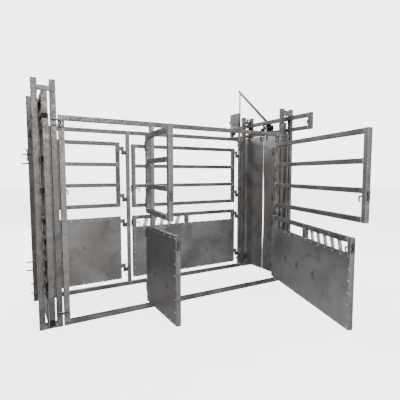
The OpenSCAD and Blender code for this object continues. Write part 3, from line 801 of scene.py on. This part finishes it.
def add_bolt_guides(gate):
    """Two guide blocks on the free edge, over and under the slide bolt."""
    body = BODY_OF[gate]
    _, opened = gate_turn(body)
    bolt = gate.replace("_gate", "_bolt")
    co = np.array([p for b in node_boxes[bolt] for p in b[3]])
    free = min(b[0][0] for b in node_boxes[gate] if b[2])
    tip = co[co[:, 0] < free]
    y, z = tip[:, 1].mean(), (tip[:, 2].min() + tip[:, 2].max()) / 2
    verts, faces = [], []
    for z0, z1 in ((z + GUIDE_GAP, z + GUIDE_OVER), (z - GUIDE_UNDER, z - GUIDE_GAP)):
        base = len(verts)
        for dx in GUIDE_DEPTH:
            for dy in (-GUIDE_HALF, GUIDE_HALF):
                for zz in (z0, z1):
                    verts.append(opened @ Vector((free + dx, y + dy, zz)))
        faces += [tuple(base + i for i in face) for face in BOX_FACES]
    obj = make_object(f"{gate}_bolt_guides", verts, faces, MATERIALS["dark_steel"])
    soften(obj, 0.0022)
    add_point_value(obj, "weld_heat", [0.3] * len(obj.data.vertices))
    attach(obj, body)


SLAT_COUNT = 5
SLAT_FIRST = 0.13
SLAT_PITCH = 0.165
SLAT_WIDTH = 0.060
SLAT_LEAN = 0.026
SLAT_HALF = 0.002
SLAT_ROUGH = 0.0003


def add_slats(gate, rng):
    """Leaning flat slats in the slot over a rear bay gate's sheet."""
    body = BODY_OF[gate]
    _, opened = gate_turn(body)
    stiles = sorted((b for b in node_boxes[gate] if b[2] and b[1][2] - b[0][2] > 0.5),
                    key=lambda b: b[0][0])
    divider = next(b for b in node_boxes[gate]
                   if b[2] and 0.08 < b[1][2] - b[0][2] < 0.12 and b[1][0] - b[0][0] > 0.05)
    start, end = divider[0][0], stiles[0][1][0]
    z0, z1 = divider[0][2] + 0.0005, divider[1][2] - 0.0005
    y = (divider[0][1] + divider[1][1]) / 2
    verts, faces = [], []
    for i in range(SLAT_COUNT):
        x = start - (start - end) * (SLAT_FIRST + SLAT_PITCH * i)
        points = [(x, z0), (x - SLAT_WIDTH, z0),
                  (x - SLAT_WIDTH + SLAT_LEAN, z1), (x + SLAT_LEAN, z1)]
        base = len(verts)
        for dy in (-SLAT_HALF, SLAT_HALF):
            for px, pz in points:
                rough = rng.uniform(-SLAT_ROUGH, SLAT_ROUGH)
                verts.append(opened @ Vector((px, y + dy + rough, pz)))
        faces.append((base, base + 1, base + 2, base + 3))
        faces.append((base + 7, base + 6, base + 5, base + 4))
        for k in range(4):
            j = (k + 1) % 4
            faces.append((base + k, base + 4 + k, base + 4 + j, base + j))
    obj = make_object(f"{gate}_slats", verts, faces, MATERIALS["pale_zinc"], smooth=False)
    soften(obj)
    add_point_value(obj, "weld_heat", [0.5] * len(obj.data.vertices))
    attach(obj, body)


def mark_edges(obj):
    """Painted-shade value 1 along a tube's rolled corners, 0 on its flats."""
    m = 4 * (CORNER_STEPS + 1)
    pattern = [0.35 if k % (CORNER_STEPS + 1) in (0, CORNER_STEPS) else 1.0 for k in range(m)]
    count = len(obj.data.vertices)
    add_point_value(obj, "edge", [pattern[i % m] for i in range(count)])


def soften(obj, width=0.0009):
    """Small bevel on every sharp edge of a fitting, then smooth shading."""
    mesh = obj.data
    bm = bmesh.new()
    bm.from_mesh(mesh)
    bmesh.ops.dissolve_limit(bm, angle_limit=FLAT_ANGLE, verts=bm.verts, edges=bm.edges)
    sharp = [e for e in bm.edges if len(e.link_faces) == 2 and e.calc_face_angle() > SHARP_FOLD]
    bmesh.ops.bevel(bm, geom=sharp, offset=width, segments=2, profile=0.6,
                    affect="EDGES", clamp_overlap=True)
    bm.to_mesh(mesh)
    bm.free()
    for polygon in mesh.polygons:
        polygon.use_smooth = True
    mesh.set_sharp_from_angle(angle=SMOOTH_ANGLE)


SEED = 7


def build_all():
    survey()
    rng = random.Random(SEED)
    bodies = frame["record"]["behaviour"]["bodies"]
    for body, nodes in bodies.items():
        build_beads(body, nodes, rng)
    for node in NODES:
        if node in DENTS:
            rebuild_sheet(node, rng)
        else:
            rebuild(node)
    for gate in ("near_rear_lower_gate", "far_rear_lower_gate"):
        add_slats(gate, rng)
    for gate in sorted(n for n in NODES if n.endswith("_gate")):
        add_bolt_guides(gate)


# ------------------------------------------------------------ the studio

# Light cast by the world, and the brightness of backdrop and floor as seen directly
WORLD_LIGHT = 0.44
BACKDROP = 4.6
FLOOR_GLOW = 3.3


def add_floor():
    bpy.ops.mesh.primitive_plane_add(size=60, location=(1.2, 0.4, -0.0005))
    floor = bpy.context.object
    floor.name = "floor"
    n = Nodes("floor")
    tone = n.mix(n.ramp(n.noise(0.7), 0.3, 0.7), grey(0.93), grey(0.95))
    n.shader.inputs["Emission Color"].default_value = (1, 1, 1, 1)
    seen = n.tree.nodes.new("ShaderNodeLightPath").outputs["Is Camera Ray"]
    n.link(n.math("MULTIPLY", seen, FLOOR_GLOW), n.shader.inputs["Emission Strength"])
    floor.data.materials.append(n.finish(tone, 0.9))


def add_light(name, at, aim, size, power):
    data = bpy.data.lights.new(name, "AREA")
    data.shape = "RECTANGLE"
    data.size = size[0]
    data.size_y = size[1]
    data.energy = power
    light = bpy.data.objects.new(name, data)
    light.location = at
    light.rotation_euler = (Vector(aim) - Vector(at)).to_track_quat("-Z", "Y").to_euler()
    bpy.context.scene.collection.objects.link(light)


def add_world():
    """Even studio light, with a brighter white backdrop for the viewer."""
    world = bpy.data.worlds.new("studio")
    world.use_nodes = True
    tree = world.node_tree
    background = tree.nodes["Background"]
    background.inputs["Color"].default_value = (1, 1, 1, 1)
    path = tree.nodes.new("ShaderNodeLightPath")
    level = tree.nodes.new("ShaderNodeMapRange")
    level.inputs["To Min"].default_value = WORLD_LIGHT
    level.inputs["To Max"].default_value = BACKDROP
    tree.links.new(path.outputs["Is Camera Ray"], level.inputs["Value"])
    tree.links.new(level.outputs["Result"], background.inputs["Strength"])
    bpy.context.scene.world = world


def add_studio():
    add_floor()
    add_world()
    add_light("key", (0.6, -7.0, 3.6), (1.2, 0.6, 0.8), (4, 2.5), 610)
    add_light("fill", (6.0, -2.0, 3.5), (1.5, 0.4, 1.0), (2.5, 2.5), 70)
    add_light("rim", (1.0, 5.0, 4.5), (1.2, 0.4, 1.0), (5, 3), 420)


add_camera()
add_studio()
build_all()
